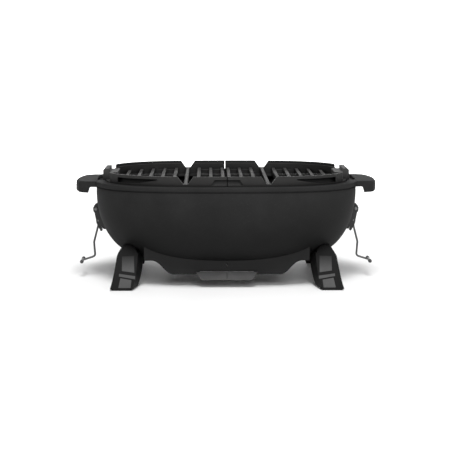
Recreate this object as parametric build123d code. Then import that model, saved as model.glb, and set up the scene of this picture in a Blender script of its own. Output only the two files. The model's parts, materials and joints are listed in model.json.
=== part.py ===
from build123d import *
import os
from math import atan, copysign, cos, degrees, pi, sin

# Portable oval charcoal grill with its lid off. Millimetres, +Z up, front towards -Y.
# The origin is on the ground, under the middle of the bowl.

# ---- Bowl
RIM_HALF_X = 259.5
RIM_HALF_Y = 186.5
RIM_TOP = 200.0
RIM_LIP = 8.5            # height of the proud band round the rim
WALL_HALF_X = 257.5
WALL_HALF_Y = 184.5
WALL = 4.5               # casting thickness
SHOULDER = 175.0         # above this height the bowl's side is upright
BOWL_FLOOR = 43.0        # underside of the bowl
SIDE_INSET = 110.0       # how far the side has come in by the time it reaches the floor
TOP_POWER = 3.0          # superellipse power of the plan at the rim
POWER_DROP = 0.9         # the plan turns rounder towards the floor by this much
LEDGE_TOP = 191.0        # the cooking grates rest on this inner ledge
LEDGE_DEPTH = 6.0
LEDGE_REACH = 12.0       # how far the ledge stands in past the grates' edge
VENT_COUNT = 5
VENT_PITCH = 18.0
VENT_WIDTH = 8.0
VENT_LENGTH = 80.0
RIM_ROUND = 2.0
POCKET_HALF_Y = 46.0     # pockets in the rim beside the grates' lugs
POCKET_BOTTOM = 193.5
POCKET_WALL = 1.5        # metal left outside a pocket
SPAN = 300.0             # reaches past everything, for cutting blocks

# ---- End handles, cast in one with the rim
HANDLE_REACH = 299.5     # outermost point, at the middle of the handle
HANDLE_HALF_Y = 70.0
HANDLE_END_X = 286.0     # where the curved outer edge meets the handle's ends
HANDLE_TOP = 199.5
HANDLE_PLATE = 11.0
LIP_THICK = 16.0
LIP_BOTTOM = 177.5
HANDLE_ROOT = 12.0       # how far the handle runs into the bowl's wall
HANDLE_CORNER_R = 14.0
HANDLE_TOP_ROUND = 3.0
HANDLE_LOW_ROUND = 2.0
GAP_HALF_Y = 90.0        # the finger gap is cut this far to each side
GAP_ROOT_X = 200.0       # and this far in
GAP_TAPER = 12.0

# ---- Cooking grates
GRATE_HALF_X = 238.0
GRATE_HALF_Y = 172.0
GRATE_TOP = 218.5        # top of the surrounding wall
RIB_TOP = 204.0
SEAM_HALF = 0.8          # half the slit between the two grates
RIB_FIRST = 6.2
RIB_PITCH = 24.1
RIB_COUNT = 9
RIB_WIDTH = 6.8
NOTCH_RIB = 3            # the rib that runs through the V notches
CURB_STEP = 213.5        # the wall is thinner above this height
CURB_THICK = 9.5
CURB_THIN = 5.0
SEAT_GAP = 2.0           # slack round the grates in the bowl's seat
CROSS_TOP = 201.5
CROSS_WIDTH = 5.0
CROSS_Y = (-150.0, -50.0, 50.0, 150.0)
RIB_EDGE = 0.9
LUG_OUT = 243.5          # the end lug: a tall outer fin on a lower block
LUG_FIN_IN = 231.5
LUG_IN = 215.0
LUG_HALF_Y = 40.0
LUG_BOTTOM = 195.0
LUG_TOP = 221.5
LUG_STEP = 214.5         # top of the lower block
LUG_EDGE = 3.0
LUG_ROUND = 2.0
LUG_GAP_X = 226.0        # beside the lug, the curb is cut away outside this
LUG_GAP_Y = 90.0
LUG_GAP_Z = 201.0
NOTCH_TOP_HALF = 15.5
NOTCH_LOW_HALF = 5.0
FRONT_SCOOP = [(-30, 202.5), (30, 202.5), (24, 212.5), (-24, 212.5)]
FRONT_SCOOP_DEPTH = 6.0
SIDE_SCOOP = [(132, 211), (132, 213), (209, 213), (209, 203), (172, 204)]
SIDE_SCOOP_DEPTH = 8.0

# ---- Charcoal grate
COAL_Z = 92.0
COAL_THICK = 6.0
COAL_HALF_X = 230.8      # its edge rests on the bowl's curved wall
COAL_HALF_Y = 157.8
COAL_POWER = 2.41
COAL_PITCH = 18.0
COAL_RIM = 9.0
COAL_BAR = 6.0
COAL_CROSS_Y = (-70.0, 0.0, 70.0)
COAL_CROSS_BAR = 10.0

# ---- Base tray, ash drawer and damper
TRAY_HALF_Y = 122.0
TRAY_SHEET = 3.0
TRAY_BOTTOM = 24.0
TRAY_FLAT_X = 102.0      # half-length of the flat bottom
TRAY_RISE_X = 147.0      # the S-shaped ends reach their full height here
TRAY_END_X = 160.0
TRAY_END_Z = 51.0
DRAWER_HALF_X = 46.0
DRAWER_BACK_Y = 92.0
DRAWER_BOTTOM = 17.0
DRAWER_SHEET = 2.0
DRAWER_FLANGE = 6.0
SLIDE_GAP = 0.4
PULL_TOP = 29.0
PULL_BOTTOM = 15.5
PULL_TOP_HALF_X = 60.0
PULL_BOTTOM_HALF_X = 49.5
PULL_TOP_REACH = 3.0
PULL_BOTTOM_REACH = 15.0
PULL_RIVET_X = 30.0
PULL_RIVET_Z = 23.5
PULL_RIVET_R = 1.6
PULL_RIVET_DEPTH = 6.0   # how far the rivets reach into the pull
PULL_RIVET_HEAD_R = 3.0
PULL_RIVET_HEAD = 1.2
GRIP_HALF_X = 40.0       # finger recess in the pull's underside
GRIP_NEAR = 3.0
GRIP_FAR = 9.0
GRIP_TOP = 20.0
TAB_HALF_X = 36.0        # the pull's pad on the drawer's front
TAB_Z = (19.0, 27.0)
MARK_WIDTH = 2.2         # index mark: a slit in the tray and a groove in the pull
MARK_DEPTH = 2.6
MARK_Z = (38.0, 46.0)
DAMPER_THICK = 2.5
DAMPER_HALF_X = 54.0
DAMPER_HALF_Y = 43.0
DAMPER_TRAVEL = VENT_PITCH / 2
DAMPER_ARM_HALF = 8.0
KNOB_Y = 134.0
KNOB_R = 7.5
KNOB_TALL = 11.0
KNOB_ROUND = 2.0
KNOB_NECK_R = 3.0
KNOB_CAP_R = 5.0
KNOB_CAP = 1.8
DAMPER_GAP = 0.3         # air between the damper plate and the bowl, and the plate and its rails
RAIL_HALF_X = 66.0
RAIL_SCREW_X = 58.0
RAIL_WIDTH = 7.0
RAIL_SHELF = 4.0
RAIL_SHEET = 2.0
RAIL_SCREW_R = 2.0
RAIL_SCREW_HEAD_R = 3.4
STANDOFF_X = 82.0
STANDOFF_Y = 60.0
SCREW_TIP = 46.0
SCREW_R = 2.5
SCREW_HOLE_R = 2.8
SCREW_HEAD_R = 4.75
SCREW_HEAD = 3.0
SOCKET_R = 2.0
SPACER_R = 6.0

# ---- Legs: half-plan rectangles at each height
LEG_HEIGHTS = (3.0, 35.0, 62.0, 104.0)
LEG_INNER_X = (181.0, 173.5, 172.0, 170.0)
LEG_OUTER_X = (223.5, 216.0, 212.0, 202.0)
LEG_BACK_Y = (122.0, 98.0, 74.0, 40.0)
LEG_FRONT_Y = (165.5, 145.0, 122.0, 84.0)
LEG_FLARE = 9.0          # the legs' inner faces run this much further in at the back
PAD_INSET = 2.5
TRIM_DEPTH = 3.0
TRIM_SUNK = 0.6
BOLT_X = 187.0
BOLT_Y = 92.0
BOLT_HEAD_TOP = 48.0
BOLT_TIP = 72.0
BOSS_R = 6.5
BOSS_BOTTOM = 62.0
BOSS_RUN = 30.0          # the posts run up this far, into the bowl's wall
BOLT_R = 3.0
BOLT_HOLE_R = 3.3
BOLT_HEAD_R = 5.5
BOLT_HEAD = 5.0
BOLT_POCKET_R = 6.5      # counterbore in the leg's underside
BOLT_POCKET_Z = 10.0
PAD_CORNER_R = 5.0
PANEL_OUTLINES = [       # the three inset panels on a leg's face, as (x, z)
    [(179, 61), (202.5, 60), (201.5, 35), (177.5, 32)],
    [(207, 30.5), (207, 25.5), (175.5, 20.5), (175.5, 26.5)],
    [(204, 23), (182.5, 19.5), (184, 5.5), (207.5, 5.5)],
]
CROWN = [(174.0, 66.0), (190.0, 79.0), (205.0, 72.0)]   # the arch of a leg's top, as (x, z)

# ---- Latches: places in the vertical plane through the bowl's long axis
LEVER_PIVOT = (261.0, 138.0)
HOOK_PIVOT = (256.5, 114.0)
HUB_R = 4.5
EYE_R = 4.6
PIN_R = 2.0
PIN_HEAD_R = 3.4
RUNNING_GAP = 0.05
EAR_IN = 9.0
EAR_OUT = 12.0
LEVER_HALF_Y = 8.5
LEVER_SLOT = 3.2
PLATE_GAP = 0.35
PLATE_OUT = 1.85         # outer face of the bracket's back plate, off the bowl
RIVET_R = 2.0
RIVET_FIT = 0.05
RIVET_SLACK = 0.45       # the flat heads stand this far off the curved walls
RIVET_Z = (119.5, 106.0)
RIVET_HEAD = 1.4
RIVET_HEAD_R = 3.6
SKIN_REACH = 12.0        # rivet holes run this far to each side of the bowl's outside
PIN_HEAD = 1.5
EAR_OUTLINE = [
    (250, 149), (258, 149), (264, 145.5), (266.5, 140), (266, 133), (258.5, 123),
    (254, 108), (246, 97), (230, 97),
]
BRACKET_Z = (97.0, 149.0)
LEVER_OUTLINE = [
    (265.4, 137), (263.5, 126), (261.6, 117), (260.6, 109), (257, 101), (252.2, 92.4),
    (249.2, 93), (250.2, 101), (252.6, 110), (255, 120), (256.6, 137),
]
LEVER_TIP_ROUND = 1.2
LEVER_CUT_TOP = 124.0    # the lever is forked below this height, for the hook's eye
LEVER_WEB_X = 252.6      # what is left behind the fork, up to LEVER_WEB_TOP
LEVER_WEB_TOP = 105.0
EYE_SLACK = 0.5
ROD_R = 2.0
ROD_PATH = [(256.5, 114.0), (258.2, 101.0), (266.5, 69.0), (264.5, 40.5), (290.0, 32.5)]
ROD_BEND = 6.0
BAR_R = 2.4
BAR_HALF = 22.0
CAP_R = 3.6
CAP_IN = 15.0
CAP_OUT = 24.0

CLEAR = 0.35             # room between a fitted casting and the curved bowl


# ---------------------------------------------------------------- shared shapes

def oval(half_x, half_y, z=0.0, power=TOP_POWER):
    """A flat superellipse face at height z."""
    points = []
    for step in range(32):
        turn = 2 * pi * step / 32
        across = half_x * copysign(abs(cos(turn)) ** (2 / power), cos(turn))
        along = half_y * copysign(abs(sin(turn)) ** (2 / power), sin(turn))
        points.append((across, along, z))
    return make_face(Spline(points, periodic=True))


def oval_slab(half_x, half_y, low, high, power=TOP_POWER):
    return extrude(oval(half_x, half_y, low, power), high - low)


def block(x0, x1, y0, y1, z0, z1):
    """A box between two corners."""
    middle = ((x0 + x1) / 2, (y0 + y1) / 2, (z0 + z1) / 2)
    return Pos(*middle) * Box(abs(x1 - x0), abs(y1 - y0), abs(z1 - z0))


def post(x, y, z0, z1, radius):
    """An upright round post."""
    return Pos(x, y, (z0 + z1) / 2) * Cylinder(radius, z1 - z0)


def cross_pin(x, z, radius, half_y):
    """A round pin lying along Y."""
    return Pos(x, 0, z) * Rot(90, 0, 0) * Cylinder(radius, 2 * half_y)


def upright(points, half_y):
    """A closed outline in the XZ plane, thickened both ways along Y."""
    return extrude(make_face(Plane.XZ * Polyline(points, close=True)), half_y, both=True)


def mirrored(shape, plane=Plane.YZ):
    return mirror(shape, about=plane)


def save(shape, name):
    export_step(Compound(shape.solids()), f"parts/{name}.step")


# ---------------------------------------------------------------- bowl

def side_inset(z, floor):
    """How far the bowl's side has come in at height z."""
    depth = min(max((SHOULDER - z) / (SHOULDER - floor), 0.0), 1.0)
    return SIDE_INSET * (1 - (1 - depth ** 2) ** 0.4)


def bowl_form(room):
    """The solid inside the bowl's outer surface, grown by room (or shrunk, where it is negative)."""
    half_x = WALL_HALF_X + room
    half_y = WALL_HALF_Y + room
    floor = BOWL_FLOOR - room
    sections = []
    for depth in (1.0, 0.985, 0.95, 0.88, 0.78, 0.62, 0.42, 0.2, 0.0):
        z = SHOULDER - depth * (SHOULDER - floor)
        inset = side_inset(z, floor)
        power = TOP_POWER - POWER_DROP * depth
        sections.append(oval(half_x - inset, half_y - inset, z, power))
    sections.append(oval(half_x, half_y, RIM_TOP))
    return loft(sections)


def handle():
    """The +X handle: a curved plate with a down-turned outer lip."""
    corner = (HANDLE_END_X, HANDLE_HALF_Y)
    edge = ThreePointArc((corner[0], -corner[1]), (HANDLE_REACH, 0), corner)
    inner_x = WALL_HALF_X - HANDLE_ROOT
    back = Polyline([corner, (inner_x, corner[1]), (inner_x, -corner[1]), (corner[0], -corner[1])])
    plan = make_face(edge + back)
    plan = fillet(plan.vertices().group_by(Axis.X)[-1], HANDLE_CORNER_R)
    body = extrude(Pos(0, 0, LIP_BOTTOM) * plan, HANDLE_TOP - LIP_BOTTOM)
    top_edges = body.faces().sort_by(Axis.Z)[-1].edges().sort_by(Axis.X)[1:]
    body = fillet(top_edges, HANDLE_TOP_ROUND)
    low_edges = body.faces().sort_by(Axis.Z)[0].edges().sort_by(Axis.X)[1:]
    body = fillet(low_edges, HANDLE_LOW_ROUND)
    shift = Pos(-LIP_THICK, 0, 0)
    near_x = HANDLE_END_X - LIP_THICK
    low_y = -GAP_HALF_Y
    arc_in = shift * ThreePointArc((HANDLE_END_X, low_y), (HANDLE_REACH, 0), (HANDLE_END_X, GAP_HALF_Y))
    gap_corners = [(near_x, GAP_HALF_Y), (GAP_ROOT_X, GAP_HALF_Y), (GAP_ROOT_X, low_y), (near_x, low_y)]
    gap_back = Polyline(gap_corners)
    gap_low = make_face(arc_in + gap_back)
    under = HANDLE_TOP - HANDLE_PLATE
    gap = extrude(Pos(0, 0, LIP_BOTTOM - 1) * gap_low, under - LIP_BOTTOM + 1, taper=GAP_TAPER)
    return body - gap


def bowl():
    body = bowl_form(0)
    rim = oval_slab(RIM_HALF_X, RIM_HALF_Y, RIM_TOP - RIM_LIP, RIM_TOP)
    rim = fillet(rim.edges().sort_by(Axis.Z)[-1], RIM_ROUND)
    body += rim
    grip = handle()
    body += grip
    body += mirrored(grip)
    for x in (-BOLT_X, BOLT_X):
        for y in (-BOLT_Y, BOLT_Y):
            body += post(x, y, BOSS_BOTTOM, BOSS_BOTTOM + BOSS_RUN, BOSS_R)

    cavity_top = LEDGE_TOP - LEDGE_DEPTH
    body -= bowl_form(-WALL) & block(-SPAN, SPAN, -SPAN, SPAN, 0, cavity_top)
    mouth_x = GRATE_HALF_X - LEDGE_REACH
    mouth_y = GRATE_HALF_Y - LEDGE_REACH
    body -= oval_slab(mouth_x, mouth_y, cavity_top - 1, LEDGE_TOP + 1)
    seat_x = GRATE_HALF_X + SEAT_GAP
    seat_y = GRATE_HALF_Y + SEAT_GAP
    body -= oval_slab(seat_x, seat_y, LEDGE_TOP, RIM_TOP + 1)
    pocket_x = WALL_HALF_X - POCKET_WALL
    pocket = block(seat_x - 4, pocket_x, -POCKET_HALF_Y, POCKET_HALF_Y, POCKET_BOTTOM, RIM_TOP + 1)
    body -= pocket
    body -= mirrored(pocket)

    for x in vent_places():
        body -= slot_hole(x, VENT_WIDTH, VENT_LENGTH, BOWL_FLOOR - 1, BOWL_FLOOR + WALL + 1)
    for x in (-STANDOFF_X, STANDOFF_X):
        for y in (-STANDOFF_Y, STANDOFF_Y):
            body -= post(x, y, BOWL_FLOOR - 1, SCREW_TIP + 0.5, SCREW_R)
    for x in (-BOLT_X, BOLT_X):
        for y in (-BOLT_Y, BOLT_Y):
            body -= post(x, y, BOSS_BOTTOM - 1, BOLT_TIP + 1, BOLT_R)
    for z in RIVET_Z:
        hole = skin_pin(z, RIVET_R, -SKIN_REACH, SKIN_REACH)
        body -= hole
        body -= mirrored(hole)
    return body


def vent_places():
    first = -(VENT_COUNT - 1) / 2 * VENT_PITCH
    return [first + VENT_PITCH * step for step in range(VENT_COUNT)]


def slot_hole(x, width, length, z0, z1):
    """A round-ended slot along Y."""
    outline = Pos(x, 0, z0) * Rot(0, 0, 90) * SlotOverall(length, width)
    return extrude(outline, z1 - z0)


def skin_pin(z, radius, start, end):
    """A round pin square to the bowl's +X end at height z, between two distances off its outside."""
    lean = (side_inset(z - 1, BOWL_FLOOR) - side_inset(z + 1, BOWL_FLOOR)) / 2
    foot = Pos(WALL_HALF_X - side_inset(z, BOWL_FLOOR), 0, z) * Rot(0, degrees(atan(lean)), 0)
    return foot * Pos((start + end) / 2, 0, 0) * Rot(0, 90, 0) * Cylinder(radius, end - start)


# ---------------------------------------------------------------- cooking grates

def rib_x(index):
    return RIB_FIRST + RIB_PITCH * index


def curb():
    """The wall round the cooking surface, thinner above its inner step."""
    wall = oval_slab(GRATE_HALF_X, GRATE_HALF_Y, LEDGE_TOP, GRATE_TOP)
    thick_x = GRATE_HALF_X - CURB_THICK
    thick_y = GRATE_HALF_Y - CURB_THICK
    wall -= oval_slab(thick_x, thick_y, LEDGE_TOP - 1, CURB_STEP)
    thin_x = GRATE_HALF_X - CURB_THIN
    thin_y = GRATE_HALF_Y - CURB_THIN
    wall -= oval_slab(thin_x, thin_y, CURB_STEP, GRATE_TOP + 1)
    return wall


def scoop(outline, depth):
    """A recess under an overhang in the curb's outer face, seen as outline from the front."""
    low = min(z for x, z in outline)
    high = max(z for x, z in outline)
    sloped = [oval(GRATE_HALF_X - depth / 2, GRATE_HALF_Y - depth / 2, low)]
    sloped.append(oval(GRATE_HALF_X - depth, GRATE_HALF_Y - depth, high))
    ring = oval_slab(GRATE_HALF_X + 5, GRATE_HALF_Y + 5, low, high) - loft(sloped)
    return ring & upright(outline, SPAN)


def rib(x):
    bar = block(x - RIB_WIDTH / 2, x + RIB_WIDTH / 2, -GRATE_HALF_Y, GRATE_HALF_Y, LEDGE_TOP, RIB_TOP)
    return chamfer(bar.edges().filter_by(Axis.Y).group_by(Axis.Z)[-1], RIB_EDGE)


def cooking_grate():
    """The +X cooking grate."""
    bars = Part()
    for index in range(RIB_COUNT):
        bars += rib(rib_x(index))
    before = rib_x(NOTCH_RIB - 1)
    after = rib_x(NOTCH_RIB + 1)
    for y in CROSS_Y:
        for x0, x1 in ((RIB_FIRST, before), (after, GRATE_HALF_X)):
            bars += block(x0, x1, y - CROSS_WIDTH / 2, y + CROSS_WIDTH / 2, LEDGE_TOP, CROSS_TOP)
    inside_x = GRATE_HALF_X - CURB_THICK + 1
    inside_y = GRATE_HALF_Y - CURB_THICK + 1
    bars = bars & oval_slab(inside_x, inside_y, LEDGE_TOP, RIB_TOP)

    lug = block(LUG_FIN_IN, LUG_OUT, -LUG_HALF_Y, LUG_HALF_Y, LUG_BOTTOM, LUG_TOP)
    lug = chamfer(lug.edges().filter_by(Axis.Y).group_by(Axis.X)[-1].sort_by(Axis.Z)[-1], LUG_EDGE)
    lug = fillet(lug.edges().filter_by(Axis.Z).group_by(Axis.X)[-1], LUG_ROUND)
    lug += block(LUG_IN, LUG_FIN_IN, -LUG_HALF_Y, LUG_HALF_Y, LUG_BOTTOM, LUG_STEP)
    grate = curb()
    beside = block(LUG_GAP_X, SPAN, LUG_HALF_Y - 1, LUG_GAP_Y, LUG_GAP_Z, LUG_TOP + 1)
    grate -= beside
    grate -= mirrored(beside, Plane.XZ)
    notch_x = rib_x(NOTCH_RIB)
    notch_low = RIB_TOP + 0.5
    notch = [(notch_x - NOTCH_TOP_HALF, GRATE_TOP + 1), (notch_x - NOTCH_LOW_HALF, notch_low)]
    notch += [(notch_x + NOTCH_LOW_HALF, notch_low), (notch_x + NOTCH_TOP_HALF, GRATE_TOP + 1)]
    grate -= upright(notch, SPAN)
    grate -= scoop(FRONT_SCOOP, FRONT_SCOOP_DEPTH)
    grate -= scoop(SIDE_SCOOP, SIDE_SCOOP_DEPTH)
    grate += lug
    grate += bars
    return grate & block(SEAM_HALF, SPAN, -SPAN, SPAN, 0, SPAN)


def charcoal_grate():
    """An oval cast grid that rests on the bowl's wall, part of the way down."""
    top = COAL_Z + COAL_THICK
    grid = oval_slab(COAL_HALF_X, COAL_HALF_Y, COAL_Z, top, COAL_POWER)
    inside_x = COAL_HALF_X - COAL_RIM
    inside_y = COAL_HALF_Y - COAL_RIM
    grid -= oval_slab(inside_x, inside_y, COAL_Z - 1, top + 1, COAL_POWER)
    bars = Part()
    count = int(2 * COAL_HALF_X / COAL_PITCH) // 2
    for index in range(-count, count + 1):
        x = index * COAL_PITCH
        bars += block(x - COAL_BAR / 2, x + COAL_BAR / 2, -SPAN, SPAN, COAL_Z, top)
    for y in COAL_CROSS_Y:
        bars += block(-SPAN, SPAN, y - COAL_CROSS_BAR / 2, y + COAL_CROSS_BAR / 2, COAL_Z, top)
    return grid + (bars & oval_slab(inside_x + 4, inside_y + 4, COAL_Z, top, COAL_POWER))


# ---------------------------------------------------------------- base tray, drawer, damper

def tray_form(half_x, half_y, low):
    """The trough under the bowl, from its S-ended underside up."""
    rise = TRAY_END_Z - TRAY_BOTTOM
    flat = (TRAY_FLAT_X, low)
    end = (TRAY_RISE_X, low + rise)
    curve = Bezier([flat, (TRAY_FLAT_X + 20, low), (TRAY_RISE_X - 21, low + rise), end])
    far = Polyline([end, (half_x, low + rise), (half_x, 110), (0, 110), (0, low), flat])
    half = extrude(make_face(Plane.XZ * (curve + far)), half_y, both=True)
    return half + mirrored(half)


def base_tray():
    tray = tray_form(TRAY_END_X, TRAY_HALF_Y, TRAY_BOTTOM)
    tray -= tray_form(TRAY_END_X - TRAY_SHEET, TRAY_HALF_Y - TRAY_SHEET, TRAY_BOTTOM + TRAY_SHEET)
    tray -= bowl_form(CLEAR)
    front = -TRAY_HALF_Y
    cut_x = DRAWER_HALF_X + 2 * SLIDE_GAP
    tray -= block(-cut_x, cut_x, front - 1, DRAWER_BACK_Y + 1, 0, TRAY_BOTTOM + TRAY_SHEET + 1)
    flange_x = DRAWER_HALF_X + DRAWER_FLANGE + 2 * SLIDE_GAP
    flange_top = TRAY_BOTTOM + TRAY_SHEET + 3
    tray -= block(-flange_x, flange_x, front - 1, front + TRAY_SHEET + 1, 0, flange_top)
    arm = DAMPER_ARM_HALF + 1
    arm_low = BOWL_FLOOR - DAMPER_THICK - 1.5
    tray -= block(-arm, arm + DAMPER_TRAVEL, TRAY_HALF_Y - 4, TRAY_HALF_Y + 1, arm_low, BOWL_FLOOR + 1)
    for x in (-STANDOFF_X, STANDOFF_X):
        for y in (-STANDOFF_Y, STANDOFF_Y):
            tray -= post(x, y, 0, TRAY_BOTTOM + TRAY_SHEET + 1, SCREW_HOLE_R)
    tray -= block(-MARK_WIDTH / 2, MARK_WIDTH / 2, front - 1, front + TRAY_SHEET + 1, *MARK_Z)
    return tray


def tray_spacers():
    """Four sleeves between the tray and the bowl's floor."""
    group = Part()
    for x in (-STANDOFF_X, STANDOFF_X):
        for y in (-STANDOFF_Y, STANDOFF_Y):
            sleeve = post(x, y, TRAY_BOTTOM + TRAY_SHEET, BOWL_FLOOR, SPACER_R)
            group += sleeve - post(x, y, TRAY_BOTTOM, BOWL_FLOOR + 1, SCREW_HOLE_R)
    return group


def tray_screws():
    """Four screws from below, through the tray and its spacers into the bowl's floor."""
    group = Part()
    for x in (-STANDOFF_X, STANDOFF_X):
        for y in (-STANDOFF_Y, STANDOFF_Y):
            head = TRAY_BOTTOM - SCREW_HEAD
            screw = post(x, y, TRAY_BOTTOM, SCREW_TIP, SCREW_R)
            screw += post(x, y, head, TRAY_BOTTOM, SCREW_HEAD_R)
            screw -= post(x, y, head - 1, TRAY_BOTTOM - 1, SOCKET_R)
            group += screw
    return group


def pull_pins(inner, radius):
    """The two pins, or their holes, that run from inside the drawer into the pull."""
    outer = -TRAY_HALF_Y - SLIDE_GAP - PULL_RIVET_DEPTH
    pins = Part()
    for x in (-PULL_RIVET_X, PULL_RIVET_X):
        turn = Pos(x, (inner + outer) / 2, PULL_RIVET_Z) * Rot(90, 0, 0)
        pins += turn * Cylinder(radius, inner - outer)
    return pins


def ash_drawer():
    """A shallow pan hanging in the tray's cut-out by its side flanges."""
    front = -TRAY_HALF_Y
    flange_low = TRAY_BOTTOM + TRAY_SHEET + SLIDE_GAP
    top = flange_low + DRAWER_SHEET
    pan = block(-DRAWER_HALF_X, DRAWER_HALF_X, front, DRAWER_BACK_Y, DRAWER_BOTTOM, top)
    flange_x = DRAWER_HALF_X + DRAWER_FLANGE
    pan += block(-flange_x, flange_x, front, DRAWER_BACK_Y, flange_low, top)
    inner_x = DRAWER_HALF_X - DRAWER_SHEET
    inner_front = front + DRAWER_SHEET
    inner_back = DRAWER_BACK_Y - DRAWER_SHEET
    pan -= block(-inner_x, inner_x, inner_front, inner_back, DRAWER_BOTTOM + DRAWER_SHEET, top + 1)
    return pan - pull_pins(front + DRAWER_SHEET + 1, PULL_RIVET_R)


def drawer_pull():
    """The tapered finger lip on the front of the ash drawer."""
    back = -TRAY_HALF_Y - SLIDE_GAP
    levels = [(PULL_TOP, PULL_TOP_HALF_X, PULL_TOP_REACH)]
    levels += [(PULL_BOTTOM, PULL_BOTTOM_HALF_X, PULL_BOTTOM_REACH)]
    sections = []
    for z, half_x, reach in levels:
        corners = [(-half_x, back, z), (half_x, back, z)]
        corners += [(half_x, back - reach, z), (-half_x, back - reach, z)]
        sections.append(make_face(Polyline(corners, close=True)))
    pull = loft(sections, ruled=True)
    strip = block(-MARK_WIDTH / 2, MARK_WIDTH / 2, back - SPAN, back, 0, PULL_TOP + 1)
    pull -= (pull - Pos(0, MARK_DEPTH, 0) * pull) & strip
    pull -= block(-GRIP_HALF_X, GRIP_HALF_X, back - GRIP_FAR, back - GRIP_NEAR, 0, GRIP_TOP)
    pull += block(-TAB_HALF_X, TAB_HALF_X, back, -TRAY_HALF_Y, *TAB_Z)
    return pull - pull_pins(-TRAY_HALF_Y + 1, PULL_RIVET_R)


def pull_rivets():
    """Two rivets that hold the pull on the drawer's front wall."""
    inner = -TRAY_HALF_Y + DRAWER_SHEET
    group = pull_pins(inner, PULL_RIVET_R)
    for x in (-PULL_RIVET_X, PULL_RIVET_X):
        place = Pos(x, inner + PULL_RIVET_HEAD / 2, PULL_RIVET_Z) * Rot(90, 0, 0)
        group += place * Cylinder(PULL_RIVET_HEAD_R, PULL_RIVET_HEAD)
    return group


def damper_plate():
    """A slotted slide under the bowl's floor, with an arm out to the back."""
    high = BOWL_FLOOR - DAMPER_GAP
    low = high - DAMPER_THICK
    plate = block(-DAMPER_HALF_X, DAMPER_HALF_X, -DAMPER_HALF_Y, DAMPER_HALF_Y, low, high)
    for x in vent_places():
        plate -= slot_hole(x, VENT_WIDTH, VENT_LENGTH, low - 1, high + 1)
    plate += block(-DAMPER_ARM_HALF, DAMPER_ARM_HALF, DAMPER_HALF_Y - 1, KNOB_Y + 6, low, high)
    plate -= post(0, KNOB_Y, low - 1, high + 1, KNOB_NECK_R)
    return plate


def damper_knob():
    """A spool-shaped knob through the end of the damper's arm."""
    high = BOWL_FLOOR - DAMPER_GAP
    low = high - DAMPER_THICK
    knob = post(0, KNOB_Y, low - KNOB_TALL, low, KNOB_R)
    knob = fillet(knob.edges().group_by(Axis.Z)[0], KNOB_ROUND)
    knob += post(0, KNOB_Y, low, high, KNOB_NECK_R)
    return knob + post(0, KNOB_Y, high, high + KNOB_CAP, KNOB_CAP_R)


def damper_rails():
    """Two L-shaped rails that carry the damper plate."""
    low = BOWL_FLOOR - 2 * DAMPER_GAP - DAMPER_THICK
    under = low - RAIL_SHEET
    side = DAMPER_HALF_Y + SLIDE_GAP
    outer = side + RAIL_WIDTH
    rail = block(-RAIL_HALF_X, RAIL_HALF_X, side, outer, under, BOWL_FLOOR)
    rail += block(-RAIL_HALF_X, RAIL_HALF_X, side - RAIL_SHELF, outer, under, low)
    for x in (-RAIL_SCREW_X, RAIL_SCREW_X):
        rail -= post(x, side + RAIL_WIDTH / 2, under - 1, BOWL_FLOOR + 1, RAIL_SCREW_R)
    arm = DAMPER_ARM_HALF + 1
    window = block(-arm, arm + DAMPER_TRAVEL, side - 1, outer + 1, low, BOWL_FLOOR + 1)
    return Part() + (rail - window) + mirrored(rail, Plane.XZ)


def rail_screws():
    low = BOWL_FLOOR - 2 * DAMPER_GAP - DAMPER_THICK - RAIL_SHEET
    y = DAMPER_HALF_Y + SLIDE_GAP + RAIL_WIDTH / 2
    group = Part()
    for x in (-RAIL_SCREW_X, RAIL_SCREW_X):
        for side in (-y, y):
            group += post(x, side, low, BOWL_FLOOR, RAIL_SCREW_R)
            group += post(x, side, low - RAIL_SHEET, low, RAIL_SCREW_HEAD_R)
    return group


# ---------------------------------------------------------------- legs

def leg_form():
    """The whole outside of the +X leg at the back, before trimming."""
    sections = []
    for level in range(len(LEG_HEIGHTS)):
        z = LEG_HEIGHTS[level]
        x0 = LEG_INNER_X[level]
        x1 = LEG_OUTER_X[level]
        y0 = LEG_BACK_Y[level]
        y1 = LEG_FRONT_Y[level]
        corners = [(x0 - LEG_FLARE, y0, z), (x1, y0, z), (x1, y1, z), (x0, y1, z)]
        sections.append(make_face(Polyline(corners, close=True)))
    return loft(sections)


def leg_profile():
    """A leg seen from the front, closed above by the arch of its top."""
    arch = ThreePointArc(*CROWN)
    sides = Polyline([CROWN[2], (214, 58), (240, 0), (150, 0), (150, 62), CROWN[0]])
    return extrude(make_face(Plane.XZ * (arch + sides)), SPAN, both=True)


def legs_and_trims():
    """The leg casting for +X, +Y and its three panels."""
    form = leg_form()
    behind = Pos(0, -TRIM_DEPTH, 0) * form
    sunk = Pos(0, -TRIM_SUNK, 0) * form
    envelope = bowl_form(CLEAR)
    leg = (form - envelope) & leg_profile()
    panels = Part()
    for outline in PANEL_OUTLINES:
        window = upright(outline, SPAN) & block(0, SPAN, 0, SPAN, 0, SPAN)
        leg -= (form - behind) & window
        panels += ((sunk - behind) & window) - envelope
    leg -= post(BOLT_X, BOLT_Y, BOSS_BOTTOM, BOSS_BOTTOM + 2 * BOSS_RUN, BOSS_R + CLEAR)
    leg -= post(BOLT_X, BOLT_Y, BOLT_HEAD_TOP - 1, BOSS_BOTTOM + 1, BOLT_HOLE_R)
    leg -= post(BOLT_X, BOLT_Y, BOLT_POCKET_Z, BOLT_HEAD_TOP, BOLT_POCKET_R)
    return leg, panels


def leg_bolts():
    group = Part()
    for x in (-BOLT_X, BOLT_X):
        for y in (-BOLT_Y, BOLT_Y):
            bolt = post(x, y, BOLT_HEAD_TOP, BOLT_TIP, BOLT_R)
            head = extrude(Pos(x, y, BOLT_HEAD_TOP - BOLT_HEAD) * RegularPolygon(BOLT_HEAD_R, 6), BOLT_HEAD)
            group += bolt + head
    return group


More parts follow.
